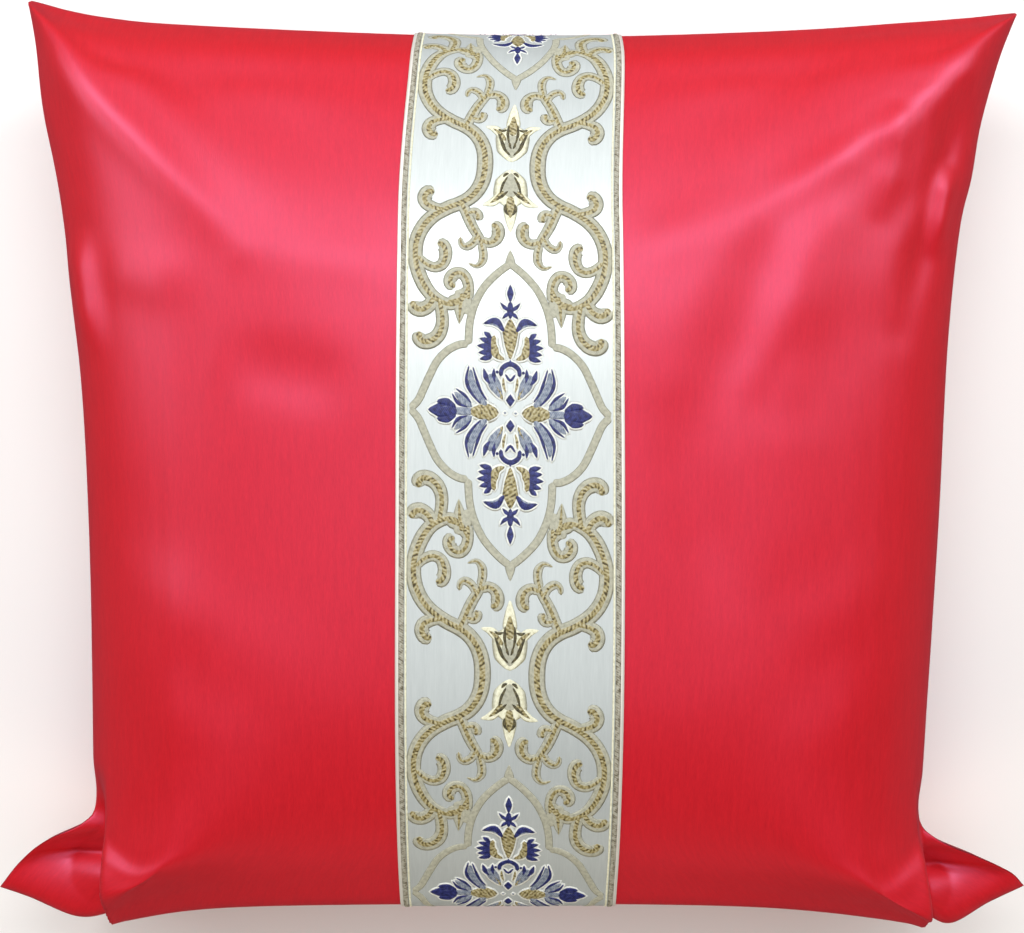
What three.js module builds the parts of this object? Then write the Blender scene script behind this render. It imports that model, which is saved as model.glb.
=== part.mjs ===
// A filled square cushion cover. A red satin front and back are seamed all round, and a brocade band
// is sewn down the middle of the front, from the top seam to the bottom one.
// The cushion lies on its back: +X is the right of its face, +Y its top edge and +Z up, in millimetres.
import * as THREE from "three";

// Driving dimensions
const CROWN = 66; // how far the face stands above the seam
const SIDE_FULLNESS = 0.8; // below 1 the face is flat on top and falls away late towards the side seams
const TOP_LIP = 24; // how far the face stands up at the top seam
const LIP_RUN = 10; // and how wide that lip is, seen from above
const TOP_SLOPE = 0.38; // rise of the slope from the lip down to the crest, where the full part begins
const CREST = 12; // how sharply the two meet there
const FACE_HEIGHT = 346; // from the bottom seam to the top one, seen from above
const BOTTOM_WALL = 0.4; // share of the rise that is a steep wall at the bottom seam, where the filling lies
const WALL_RUN = 1.5; // how wide the wall is, seen from above
const BOTTOM_RUN = 50; // the width, from the bottom seam, over which it makes most of the rest of its rise
const SIDE_HEIGHTS = 0.6; // from this share of the way in, the heights of the side seams stop to count
const SLUMP = 0.09; // share by which the bottom half is fuller than the middle, and the top half flatter
const BACK_RISE = 1.8; // how roundly the back leaves the surface that it lies on
const REST_ACROSS = 2 / 3; // where it lies flat on its back: the share of the way in from a side seam
const REST_UP = 0.6; // and the share of the way in from the top or bottom seam

const BAND_WIDTH = 83;
const BAND_THICKNESS = 1.2;
const BAND_GAP = 0.3; // the band's clearance over the satin that it is sewn to

const ROWS = 40; // cells from the bottom seam to the top seam
const PANEL_COLUMNS = 18; // cells from a side seam to the band
const BAND_COLUMNS = 8;

// The four points of the cover: the upper two stand out stiffly, the lower two are limp ears.
const TIPS = {
  topLeft: { x: -195, y: 189, height: 50 },
  topRight: { x: 204, y: 184, height: 50 },
  bottomLeft: { x: -212, y: -174, height: 38 },
  bottomRight: { x: 212, y: -173.5, height: 38 },
};

// How each side's seam is drawn in from the straight line between its two tips, and its height there.
// The lower rows of the left and right sides run out along the upper edge of an ear.
const SEAMS = {
  left: [
    { along: 0.06, drawnIn: 5, height: 50 },
    { along: 0.13, drawnIn: 9, height: 49 },
    { along: 0.22, drawnIn: 17, height: 48 },
    { along: 0.33, drawnIn: 24, height: 48 },
    { along: 0.46, drawnIn: 31, height: 48 },
    { along: 0.63, drawnIn: 36.5, height: 47 },
    { along: 0.8, drawnIn: 40.5, height: 48 },
    { along: 0.885, drawnIn: 42.5, height: 53 },
    { along: 0.91, drawnIn: 38, height: 56 },
    { along: 0.935, drawnIn: 22, height: 53 },
    { along: 0.965, drawnIn: 10, height: 45 },
  ],
  right: [
    { along: 0.06, drawnIn: 9, height: 50 },
    { along: 0.13, drawnIn: 16.5, height: 49 },
    { along: 0.19, drawnIn: 20.5, height: 48 },
    { along: 0.25, drawnIn: 26, height: 48 },
    { along: 0.38, drawnIn: 32, height: 48 },
    { along: 0.57, drawnIn: 37, height: 47 },
    { along: 0.8, drawnIn: 44.5, height: 48 },
    { along: 0.9, drawnIn: 47.5, height: 53 },
    { along: 0.93, drawnIn: 41, height: 56 },
    { along: 0.955, drawnIn: 23, height: 53 },
    { along: 0.978, drawnIn: 8, height: 45 },
  ],
  top: [
    { along: 0.08, drawnIn: 7, height: 50 },
    { along: 0.22, drawnIn: 10.5, height: 50 },
    { along: 0.5, drawnIn: 12.5, height: 49 },
    { along: 0.74, drawnIn: 9.5, height: 50 },
    { along: 0.9, drawnIn: 4.5, height: 50 },
  ],
  bottom: [
    { along: 0.03, drawnIn: -3.5, height: 39 },
    { along: 0.075, drawnIn: -8.5, height: 42 },
    { along: 0.14, drawnIn: -4, height: 45 },
    { along: 0.25, drawnIn: 1, height: 46 },
    { along: 0.5, drawnIn: 2.2, height: 46 },
    { along: 0.72, drawnIn: 0.6, height: 46 },
    { along: 0.85, drawnIn: -4.5, height: 45 },
    { along: 0.925, drawnIn: -12, height: 42 },
    { along: 0.965, drawnIn: -6.5, height: 39 },
  ],
};

// Soft folds of the face, each a ridge (or a trough, where lift is below 0) along a straight line.
const FOLDS = [
  { fromX: -186, fromY: 168, toX: -100, toY: 84, width: 15, lift: 3.5 },
  { fromX: -150, fromY: 170, toX: -70, toY: 120, width: 17, lift: -2.5 },
  { fromX: -100, fromY: 80, toX: -50, toY: 62, width: 20, lift: 2 },
  { fromX: 188, fromY: 160, toX: 86, toY: 96, width: 15, lift: 4 },
  { fromX: 130, fromY: 160, toX: 62, toY: 128, width: 16, lift: -2.5 },
  { fromX: 180, fromY: 134, toX: 160, toY: 78, width: 8, lift: -5 },
  { fromX: 128, fromY: 96, toX: 72, toY: 20, width: 17, lift: -3 },
  { fromX: -160, fromY: 76, toX: -120, toY: 66, width: 12, lift: 2 },
  { fromX: -150, fromY: -60, toX: -96, toY: -124, width: 18, lift: 2 },
  { fromX: 150, fromY: -60, toX: 100, toY: -120, width: 18, lift: 2 },
];

// Each lower corner folds back to an ear. Beyond a fold line from root to foot the face drops to the ear,
// and a valley crosses the ear, from the fold line to the middle of its upper edge.
const EARS = [
  { side: -1, rootX: -167, rootY: -140, footX: -161, footY: -184, valleyX: -199, valleyY: -159 },
  { side: 1, rootX: 166, rootY: -144, footX: 171, footY: -189, valleyX: 201, valleyY: -163 },
];
const EAR_WALL = 14; // how wide the drop from the face to the ear is, seen from above
const EAR_FLATNESS = 0.72; // share of the face's crown that an ear has lost
const EAR_VALLEY = { start: 0.4, depth: 13, width: 9 }; // start is a share of the fold line, from its root

// Helpers
const lerp = THREE.MathUtils.lerp;
const step = (value, from, to) => THREE.MathUtils.smoothstep(value, from, to);
const bow = (share) => 2 * Math.sqrt(Math.max(share * (1 - share), 0)); // a half circle over 0 to 1
const arc = (inset) => Math.acos(1 - Math.min(inset, 1)) / (Math.PI / 2); // 0 to 1, fast at first

// The lower of two rises, rounded where they meet.
const lower = (a, b) => (a * b) / Math.max((a ** CREST + b ** CREST) ** (1 / CREST), 1e-9);

// Distance from (x, y) to the stretch between two points, and the share along it.
function alongStretch(x, y, fromX, fromY, toX, toY) {
  const dx = toX - fromX;
  const dy = toY - fromY;
  const share = ((x - fromX) * dx + (y - fromY) * dy) / (dx * dx + dy * dy);
  const near = THREE.MathUtils.clamp(share, 0, 1);
  return { share, distance: Math.hypot(x - fromX - near * dx, y - fromY - near * dy) };
}

// One side of the seam as a curve from tip to tip. inward is +1 where the inside is on the left on the way.
function seamSide(from, to, rows, inward) {
  const dx = to.x - from.x;
  const dy = to.y - from.y;
  const length = Math.hypot(dx, dy);
  const points = rows.map(
    ({ along, drawnIn, height }) =>
      new THREE.Vector3(
        from.x + along * dx - (inward * drawnIn * dy) / length,
        from.y + along * dy + (inward * drawnIn * dx) / length,
        height,
      ),
  );
  const ends = [from, to].map((tip) => new THREE.Vector3(tip.x, tip.y, tip.height));
  const curve = new THREE.CatmullRomCurve3([ends[0], ...points, ends[1]], false, "catmullrom", 0.5);
  curve.arcLengthDivisions = 400;
  return curve;
}

// left and right run down the cushion, top and bottom run to the right
const seam = {
  left: seamSide(TIPS.topLeft, TIPS.bottomLeft, SEAMS.left, 1),
  right: seamSide(TIPS.topRight, TIPS.bottomRight, SEAMS.right, -1),
  top: seamSide(TIPS.topLeft, TIPS.topRight, SEAMS.top, -1),
  bottom: seamSide(TIPS.bottomLeft, TIPS.bottomRight, SEAMS.bottom, 1),
};

// The point of the surface that the seam spans, at the shares across from the left and up from the bottom.
function spanned(across, up) {
  const left = seam.left.getPointAt(1 - up);
  const right = seam.right.getPointAt(1 - up);
  const bottom = seam.bottom.getPointAt(across);
  const top = seam.top.getPointAt(across);
  const { topLeft, topRight, bottomLeft, bottomRight } = TIPS;
  const corner = (key) =>
    lerp(
      lerp(bottomLeft[key], bottomRight[key], across),
      lerp(topLeft[key], topRight[key], across),
      up,
    );
  const fromSides = (key, tipKey) => lerp(left[key], right[key], across) - corner(tipKey);
  const nearSides = 1 - step(bow(across), SIDE_HEIGHTS, 1);
  return {
    x: lerp(bottom.x, top.x, up) + fromSides("x", "x"),
    y: lerp(bottom.y, top.y, up) + fromSides("y", "y"),
    height: lerp(bottom.z, top.z, up) + nearSides * fromSides("z", "height"),
  };
}

// Height of the folds of the face at (x, y).
function foldLift(x, y) {
  return FOLDS.reduce((total, { fromX, fromY, toX, toY, width, lift }) => {
    const { share, distance } = alongStretch(x, y, fromX, fromY, toX, toY);
    const fade = step(share, -0.25, 0.3) * (1 - step(share, 0.6, 1.25));
    return total + lift * fade * Math.exp(-((distance / width) ** 2));
  }, 0);
}

// How far (x, y) belongs to an ear, from 0 on the face to 1, and how deep the ear's valley is there.
function earAt(x, y) {
  return EARS.reduce(
    (found, { side, rootX, rootY, footX, footY, valleyX, valleyY }) => {
      const share = (rootY - y) / (rootY - footY);
      const outside = side * (x - lerp(rootX, footX, share));
      const part = step(outside, 0, EAR_WALL) * step(share, -0.25, 0.2);
      const startX = lerp(rootX, footX, EAR_VALLEY.start);
      const startY = lerp(rootY, footY, EAR_VALLEY.start);
      const { distance } = alongStretch(x, y, startX, startY, valleyX, valleyY);
      const valley = part * EAR_VALLEY.depth * Math.exp(-((distance / EAR_VALLEY.width) ** 2));
      return { part: Math.max(found.part, part), valley: Math.max(found.valley, valley) };
    },
    { part: 0, valley: 0 },
  );
}

// The face and the back at one place: plan position, and the heights of the two.
// inset is the share of the way from the nearer side seam to the band.
function cushionAt(across, up, inset) {
  const { x, y, height } = spanned(across, up);
  const rim = bow(across) * bow(up); // 0 on the seam, 1 in the middle
  const slump = 1 + SLUMP * (1 - 2 * up);
  const fromBottom = Math.max(y - seam.bottom.getPointAt(across).y, 0);
  const wall = 1 - Math.exp(-fromBottom / WALL_RUN);
  const roll = lerp(Math.tanh(fromBottom / BOTTOM_RUN), wall, BOTTOM_WALL); // up from the bottom seam
  const full = CROWN * slump * bow(across) ** SIDE_FULLNESS * roll;
  const fromTop = FACE_HEIGHT * (1 - up);
  const crown = lower(full, TOP_LIP * Math.tanh(fromTop / LIP_RUN) + TOP_SLOPE * fromTop);
  const ear = earAt(x, y);
  const open = Math.min(1, rim * 5); // folds and valleys fade out on the seam
  const clearAcross = Math.max(0, 1 - arc(inset) / REST_ACROSS); // 0 where it lies, 1 on the seam
  const clearUp = Math.max(0, 1 - arc(2 * Math.min(up, 1 - up)) / REST_UP);
  const back = height * Math.min(1, (clearAcross ** 4 + clearUp ** 4) ** 0.25) ** BACK_RISE;
  const face = height + crown * (1 - EAR_FLATNESS * ear.part) + open * (foldLift(x, y) - ear.valley);
  return { x, y, face, back };
}

// The share across at which the face reaches x, on the row at share up.
function acrossAt(x, up) {
  let low = 0;
  let high = 1;
  for (let i = 0; i < 40; i += 1) {
    const middle = (low + high) / 2;
    if (spanned(middle, up).x < x) low = middle;
    else high = middle;
  }
  return (low + high) / 2;
}

// The band's middle line leans a little: x against the share up.
const bandMiddle = (up) => lerp(-1.5, -0.6, step(up, 0, 0.5)) + 3 * step(up, 0.78, 1);

// One row's columns, close together at the side seams and even over the band: the share across, and the
// share of the way from the nearer side seam to the band.
function rowColumns(up) {
  const bandLeft = acrossAt(bandMiddle(up) - BAND_WIDTH / 2, up);
  const bandRight = acrossAt(bandMiddle(up) + BAND_WIDTH / 2, up);
  const spread = (i) => 1 - Math.cos((Math.PI / 2) * (i / PANEL_COLUMNS)); // 0 to 1, slow at the seam
  const columns = [];
  const add = (across, inset) => columns.push({ across, inset });
  for (let i = 0; i < PANEL_COLUMNS; i += 1) add(bandLeft * spread(i), spread(i));
  for (let i = 0; i < BAND_COLUMNS; i += 1) add(lerp(bandLeft, bandRight, i / BAND_COLUMNS), 1);
  for (let i = PANEL_COLUMNS; i >= 0; i -= 1) add(1 - (1 - bandRight) * spread(i), spread(i));
  return columns;
}

// The grid of the whole cushion, row by row from the bottom seam.
const grid = [];
for (let row = 0; row <= ROWS; row += 1) {
  const up = (1 - Math.cos((Math.PI * row) / ROWS)) / 2;
  grid.push(rowColumns(up).map(({ across, inset }) => cushionAt(across, up, inset)));
}
const COLUMNS = grid[0].length - 1;

// A closed solid between two grids of points of the same size that may share their rim.
function solidBetween(upper, lower) {
  const rows = upper.length;
  const columns = upper[0].length;
  const positions = [];
  const index = [];
  const place = new Map();
  const vertex = (p) => {
    const key = p.toArray().map((v) => v.toFixed(4)).join(" ");
    if (!place.has(key)) {
      place.set(key, positions.length / 3);
      positions.push(...p.toArray());
    }
    return place.get(key);
  };
  const triangle = (a, b, c) => {
    if (a !== b && b !== c && c !== a) index.push(a, b, c);
  };
  const quad = (a, b, c, d) => {
    const [ia, ib, ic, id] = [a, b, c, d].map(vertex);
    if (a.distanceTo(c) <= b.distanceTo(d)) {
      triangle(ia, ib, ic);
      triangle(ia, ic, id);
    } else {
      triangle(ia, ib, id);
      triangle(ib, ic, id);
    }
  };
  for (let r = 0; r + 1 < rows; r += 1) {
    for (let c = 0; c + 1 < columns; c += 1) {
      quad(upper[r][c], upper[r][c + 1], upper[r + 1][c + 1], upper[r + 1][c]);
      quad(lower[r][c], lower[r + 1][c], lower[r + 1][c + 1], lower[r][c + 1]);
    }
    quad(upper[r][0], upper[r + 1][0], lower[r + 1][0], lower[r][0]);
    const last = columns - 1;
    quad(upper[r + 1][last], upper[r][last], lower[r][last], lower[r + 1][last]);
  }
  for (let c = 0; c + 1 < columns; c += 1) {
    quad(upper[0][c + 1], upper[0][c], lower[0][c], lower[0][c + 1]);
    const last = rows - 1;
    quad(upper[last][c], upper[last][c + 1], lower[last][c + 1], lower[last][c]);
  }
  const geometry = new THREE.BufferGeometry();
  geometry.setAttribute("position", new THREE.Float32BufferAttribute(positions, 3));
  geometry.setIndex(index);
  return geometry;
}

// The cover: front, back and what fills them, one solid
const isSeam = (row, column) => row === 0 || row === ROWS || column === 0 || column === COLUMNS;
const face = grid.map((line) => line.map((p) => new THREE.Vector3(p.x, p.y, p.face)));
const back = grid.map((line, row) =>
  line.map((p, column) => new THREE.Vector3(p.x, p.y, isSeam(row, column) ? p.face : p.back)),
);
const coverGeometry = solidBetween(face, back);

// The band: a strip of the face's own grid, lifted along the face's normals
function faceNormal(row, column) {
  const alongX = new THREE.Vector3().subVectors(face[row][column + 1], face[row][column - 1]);
  const alongY = new THREE.Vector3().subVectors(face[row + 1][column], face[row - 1][column]);
  return alongX.cross(alongY).normalize();
}

function bandSurface(lift) {
  const lines = [];
  for (let row = 1; row < ROWS; row += 1) {
    const line = [];
    for (let i = 0; i <= BAND_COLUMNS; i += 1) {
      const column = PANEL_COLUMNS + i;
      line.push(face[row][column].clone().addScaledVector(faceNormal(row, column), lift));
    }
    lines.push(line);
  }
  return lines;
}
const bandGeometry = solidBetween(bandSurface(BAND_GAP + BAND_THICKNESS), bandSurface(BAND_GAP));

// The two pieces, with the origin under the middle of the cushion
function piece(name, geometry, material) {
  const mesh = new THREE.Mesh(geometry, material);
  mesh.name = name;
  return mesh;
}

const satin = new THREE.MeshStandardMaterial({ color: 0xd62a40, roughness: 0.4, metalness: 0 });
const brocade = new THREE.MeshStandardMaterial({ color: 0xe4e8e2, roughness: 0.45, metalness: 0 });
const cushion = new THREE.Group();
cushion.add(piece("cover", coverGeometry, satin), piece("band", bandGeometry, brocade));

const middle = new THREE.Box3().setFromObject(cushion).getCenter(new THREE.Vector3());
cushion.children.forEach((mesh) => mesh.geometry.translate(-middle.x, -middle.y, 0));

export default cushion;
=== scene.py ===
import math

import bmesh
import bpy
import numpy as np
from mathutils import Matrix, Vector


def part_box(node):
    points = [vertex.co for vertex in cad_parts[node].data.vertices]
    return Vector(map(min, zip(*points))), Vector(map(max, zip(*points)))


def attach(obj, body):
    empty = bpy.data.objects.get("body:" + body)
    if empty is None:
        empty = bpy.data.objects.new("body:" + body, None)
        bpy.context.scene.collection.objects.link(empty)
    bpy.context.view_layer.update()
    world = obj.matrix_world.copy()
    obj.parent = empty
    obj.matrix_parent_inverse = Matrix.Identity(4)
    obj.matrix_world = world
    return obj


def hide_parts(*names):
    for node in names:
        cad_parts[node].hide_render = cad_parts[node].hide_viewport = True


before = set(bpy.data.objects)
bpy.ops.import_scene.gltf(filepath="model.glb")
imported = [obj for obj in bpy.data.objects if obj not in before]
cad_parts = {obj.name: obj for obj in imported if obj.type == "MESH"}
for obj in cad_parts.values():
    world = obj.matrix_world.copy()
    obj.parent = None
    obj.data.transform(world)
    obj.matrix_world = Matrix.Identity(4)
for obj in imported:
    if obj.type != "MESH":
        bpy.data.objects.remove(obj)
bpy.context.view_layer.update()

# The filled cover: two square panels of red satin, seamed face to face all round, turned out and stuffed.
# The pad has slid down inside, so the top slopes to its seam, the bottom edge is square and full, and the
# two lower corners, which hold no filling, are folded back as ears. Its sizes are in millimetres.
MM = 0.001
TINY = 1e-9
COVER_WIDTH = 406  # the flat panel, a 16 inch square
BAND_WIDTH = 83
CROWN = 66  # rise of the face over its seam
SIDE_FULLNESS = 0.8  # below 1, the face rises steeply from its sides
TOP_LIP, LIP_RUN = 24, 10  # how far and how soon the cloth turns up from the top seam
TOP_SLOPE = 0.38  # and how steeply it goes on
CREST = 12  # the higher, the sharper the line where that slope meets the crown
FACE_HEIGHT = 346
BOTTOM_WALL, WALL_RUN = 0.4, 1.5  # share of the crown that stands up at the bottom seam, and how soon
BOTTOM_RUN = 50  # how soon the rest of it rises
UNDERCUT, UNDERCUT_RUN = 7, 14  # the wall leans out over the bottom seam
SIDE_HEIGHTS = 0.6  # bow across the face from which the heights of the side seams no longer count in full
SLUMP = 0.09  # share by which the bottom is fuller, and the top less full, than the middle
BACK_RISE = 1.8  # above 1, the back leaves the ground slowly
REST_ACROSS, REST_UP = 2 / 3, 0.6  # shares of the arc from the seam inwards that the back is off the ground
REST_CORNERS = 4  # above 2, the patch on the ground is squarer than an ellipse
SEAM_HOLD = 5  # how soon the folds grow, away from the seam

# The four points of the cover: x, y and height
TIPS = {
    "top_left": (-195, 189, 50),
    "top_right": (204, 184, 50),
    "bottom_left": (-212, -174, 38),
    "bottom_right": (212, -173.5, 38),
}

# Each side's first and last point, the side on which the cushion lies, and rows of: share along the
# straight line between them, how far the seam is drawn in from it, height of the seam
SEAM_SIDES = {
    "left": ("top_left", "bottom_left", 1, [
        (0.06, 5, 50), (0.13, 9, 49), (0.22, 17, 48), (0.33, 24, 48), (0.46, 31, 48), (0.63, 36.5, 47),
        (0.8, 40.5, 48), (0.885, 42.5, 53), (0.91, 38, 56), (0.935, 22, 53), (0.965, 10, 45)]),
    "right": ("top_right", "bottom_right", -1, [
        (0.06, 9, 50), (0.13, 16.5, 49), (0.19, 20.5, 48), (0.25, 26, 48), (0.38, 32, 48), (0.57, 37, 47),
        (0.8, 44.5, 48), (0.9, 47.5, 53), (0.93, 41, 56), (0.955, 23, 53), (0.978, 8, 45)]),
    "top": ("top_left", "top_right", -1, [
        (0.08, 7, 50), (0.22, 10.5, 50), (0.5, 12.5, 49), (0.74, 9.5, 50), (0.9, 4.5, 50)]),
    "bottom": ("bottom_left", "bottom_right", 1, [
        (0.03, -4, 39), (0.075, -11, 41), (0.107, -9.5, 43), (0.145, -2.4, 45), (0.25, 3.6, 46),
        (0.5, 5.4, 46), (0.72, 3.6, 46), (0.85, -2.6, 45), (0.893, -8.5, 43), (0.925, -14.5, 41),
        (0.965, -6.5, 39)]),
}

# Soft folds of the face: from x, y, to x, y, width, lift (below 0 for a trough)
FOLDS = [
    (-184, 163, -100, 80, 8, 2.6),
    (-150, 170, -70, 120, 18, -1.6),
    (-100, 80, -44, 75, 12, 1.2),
    (182, 156, 90, 96, 9, 3),
    (90, 96, 46, 80, 12, 1.6),
    (130, 160, 62, 128, 16, -1.6),
    (173, 143, 149, 50, 8, -4),
    (169, 114, 163, 84, 6, 4),
    (148, 132, 138, 96, 7, 2.4),
    (122, 112, 100, 30, 13, 3),
    (100, 30, 110, -56, 19, 2.8),
    (100, 92, 70, 14, 15, -3),
    (58, 20, 76, -50, 14, -2.6),
    (-171, 86, -165, 46, 8, 4.5),
    (-158, 76, -120, 68, 11, 1.5),
    (-102, 38, -58, 30, 14, -2.4),
    (-150, -40, -60, -86, 16, 1.8),
    (146, -40, 60, -92, 16, 1.8),
    (-150, -60, -96, -124, 18, 2),
    (150, -60, 100, -120, 18, 2),
]
FOLD_START, FOLD_END = (-0.25, 0.3), (0.6, 1.25)  # shares along a fold between which it comes and goes

# Ears: side, root x, y and foot x, y of the fold line, and the x, y at which the ear's valley ends
EARS = [
    (-1, -156, -128, -157, -184, -199, -158),
    (1, 157, -134, 163, -189, 201, -163),
]
EAR_WALL = 7  # the step down from the face to the ear
EAR_START = (-0.25, 0.2)  # shares along the fold line between which the step comes
EAR_FLATNESS = 0.66
VALLEY_START = 0.5  # share along the fold line
VALLEY_DEPTH, VALLEY_WIDTH, CREASE_ROUND = 17, 11, 1.2

CURVE_STEPS = 40  # between two given points of a curve
SEAM_POINTS = 801
PLAN_POINTS = 401
EVEN_PART = 0.25  # how much of a grid's spacing is even, and does not narrow towards its ends


def between(values, place):
    """Smooth curve through the rows of an array, at fractional row numbers."""
    padded = np.concatenate([2 * values[:1] - values[1:2], values, 2 * values[-1:] - values[-2:-1]])
    first = np.minimum(place.astype(int), len(values) - 2)
    t = (place - first).reshape(-1, *[1] * (values.ndim - 1))
    a, b, c, d = (padded[first + k] for k in range(4))
    return b + 0.5 * t * (c - a + t * (2 * a - 5 * b + 4 * c - d + t * (3 * (b - c) + d - a)))


def curve_through(points, count):
    """Evenly spaced points of a smooth curve through a few given ones."""
    points = np.array(points, float)
    dense = between(points, np.linspace(0, len(points) - 1, CURVE_STEPS * len(points)))
    travel = np.concatenate([[0], np.cumsum(np.linalg.norm(np.diff(dense, axis=0), axis=1))])
    even = np.linspace(0, travel[-1], count)
    return np.stack([np.interp(even, travel, dense[:, k]) for k in range(dense.shape[1])], axis=1)


def seam_curve(first, last, inward, rows):
    start, end = np.array(TIPS[first], float), np.array(TIPS[last], float)
    way = (end - start)[:2]
    inner = inward * np.array([-way[1], way[0]]) / np.linalg.norm(way)
    points = [(*(start[:2] + along * way + drawn_in * inner), height) for along, drawn_in, height in rows]
    return curve_through([start, *points, end], SEAM_POINTS)


seams = {side: seam_curve(*row) for side, row in SEAM_SIDES.items()}


def on_seam(side, share):
    even = np.linspace(0, 1, len(seams[side]))
    return np.stack([np.interp(share, even, seams[side][:, k]) for k in range(3)], axis=-1)


def eased(value, low, high):
    t = np.clip((value - low) / (high - low), 0, 1)
    return t * t * (3 - 2 * t)


def bow(share):
    """A half circle over the shares 0 to 1."""
    return 2 * np.sqrt(np.clip(share * (1 - share), 0, None))


def along_stretch(x, y, from_x, from_y, to_x, to_y):
    """Share along the stretch between two points, and the distance from it."""
    dx, dy = to_x - from_x, to_y - from_y
    share = ((x - from_x) * dx + (y - from_y) * dy) / (dx * dx + dy * dy)
    near = np.clip(share, 0, 1)
    return share, np.hypot(x - from_x - near * dx, y - from_y - near * dy)


def fold_lift(x, y):
    lifts = 0
    for from_x, from_y, to_x, to_y, width, lift in FOLDS:
        share, distance = along_stretch(x, y, from_x, from_y, to_x, to_y)
        fade = eased(share, *FOLD_START) * (1 - eased(share, *FOLD_END))
        lifts = lifts + lift * fade * np.exp(-((distance / width) ** 2))
    return lifts


def ear_at(x, y):
    """How far a place belongs to an ear, from 0 on the face to 1, and the depth of the ear's valley."""
    parts, valleys = 0, 0
    for side, root_x, root_y, foot_x, foot_y, valley_x, valley_y in EARS:
        share = (root_y - y) / (root_y - foot_y)
        outside = side * (x - root_x - (foot_x - root_x) * share)
        part = eased(outside, 0, EAR_WALL) * eased(share, *EAR_START)
        start_x = root_x + (foot_x - root_x) * VALLEY_START
        start_y = root_y + (foot_y - root_y) * VALLEY_START
        distance = along_stretch(x, y, start_x, start_y, valley_x, valley_y)[1]
        parts = np.maximum(parts, part)
        crease = (np.hypot(distance, CREASE_ROUND) - CREASE_ROUND) / VALLEY_WIDTH
        valleys = np.maximum(valleys, part * VALLEY_DEPTH * np.exp(-crease))
    return parts, valleys


def plan_of(across, up):
    """The point that the seam spans, at the shares across from the left seam and up from the bottom one."""
    a, u = across[..., None], up[..., None]
    left, right = on_seam("left", 1 - up), on_seam("right", 1 - up)
    bottom, top = on_seam("bottom", across), on_seam("top", across)
    tip = {name: np.array(place, float) for name, place in TIPS.items()}
    low_corners = (1 - a) * tip["bottom_left"] + a * tip["bottom_right"]
    high_corners = (1 - a) * tip["top_left"] + a * tip["top_right"]
    from_sides = (1 - a) * left + a * right - (1 - u) * low_corners - u * high_corners
    from_sides[..., 2] *= 1 - eased(bow(across), SIDE_HEIGHTS, 1)
    return (1 - u) * bottom + u * top + from_sides


def arc(inset):
    """Share of a quarter circle that lies under a share of its radius, from the rim inwards."""
    return np.arccos(1 - np.minimum(inset, 1)) / (math.pi / 2)


def cover_form(across, up, inset):
    """Points of the face and the back. inset is the share of the way from the nearer side to the band."""
    x, y, height = np.moveaxis(plan_of(across, up), -1, 0)
    held_free = np.minimum(1, SEAM_HOLD * bow(across) * bow(up))
    from_bottom = np.maximum(y - on_seam("bottom", across)[..., 1], 0)
    wall = 1 - np.exp(-from_bottom / WALL_RUN)
    roll = BOTTOM_WALL * wall + (1 - BOTTOM_WALL) * np.tanh(from_bottom / BOTTOM_RUN)
    full = CROWN * (1 + SLUMP * (1 - 2 * up)) * bow(across) ** SIDE_FULLNESS * roll
    from_top = FACE_HEIGHT * (1 - up)
    slope = TOP_LIP * np.tanh(from_top / LIP_RUN) + TOP_SLOPE * from_top
    crown = full * slope / np.maximum((full**CREST + slope**CREST) ** (1 / CREST), TINY)
    ear, valley = ear_at(x, y)
    lean = UNDERCUT * wall * np.exp(-from_bottom / UNDERCUT_RUN) * (1 - ear)
    lean = lean * np.minimum(1, 2 * bow(across) ** 2)
    face = height + crown * (1 - EAR_FLATNESS * ear) + held_free * (fold_lift(x, y) - valley)
    clear_across = np.maximum(0, 1 - arc(inset) / REST_ACROSS)
    clear_up = np.maximum(0, 1 - arc(2 * np.minimum(up, 1 - up)) / REST_UP)
    clear = (clear_across**REST_CORNERS + clear_up**REST_CORNERS) ** (1 / REST_CORNERS)
    back = height * np.minimum(1, clear) ** BACK_RISE
    return np.stack([x, y - lean, face], axis=-1), np.stack([x, y, back], axis=-1)


def grid_normals(points):
    across_way = np.gradient(points, axis=1)
    up_way = np.gradient(points, axis=0)
    normals = np.cross(across_way, up_way)
    return normals / np.maximum(np.linalg.norm(normals, axis=-1, keepdims=True), TINY)


BAND_FOOT = -1.5
BAND_BENDS = [(0.9, 0, 0.5), (3, 0.78, 1)]  # shift to the right, between which shares up the face


def band_middle(up):
    """The band's middle line leans a little: x against the share up."""
    x = BAND_FOOT
    for shift, low, high in BAND_BENDS:
        x = x + shift * eased(up, low, high)
    return x


def spaced(count):
    """Shares from 0 to 1, closer together towards both ends."""
    even = np.linspace(0, 1, count + 1)
    return EVEN_PART * even + (1 - EVEN_PART) * (1 - np.cos(math.pi * even)) / 2


def cover_grid(rows, panel_cells, band_cells):
    """A grid whose columns follow the side seams and the band's two edges: shares across, up and inset."""
    row_up = spaced(rows)
    shares = np.linspace(0, 1, PLAN_POINTS)
    reached = plan_of(*np.meshgrid(shares, row_up))[..., 0]
    edges = band_middle(row_up)[:, None] + BAND_WIDTH * np.array([-0.5, 0.5])
    left, right = np.array([np.interp(*line, shares) for line in zip(edges, reached)]).T[..., None]
    towards = 2 * spaced(2 * panel_cells)[:panel_cells]
    over = np.linspace(0, 1, band_cells + 1)
    across = np.hstack([left * towards, left + (right - left) * over, 1 - (1 - right) * towards[::-1]])
    up = np.repeat(row_up[:, None], across.shape[1], axis=1)
    column_inset = np.concatenate([towards, np.ones(band_cells + 1), towards[::-1]])
    return across, up, np.repeat(column_inset[None], rows + 1, axis=0)


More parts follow.
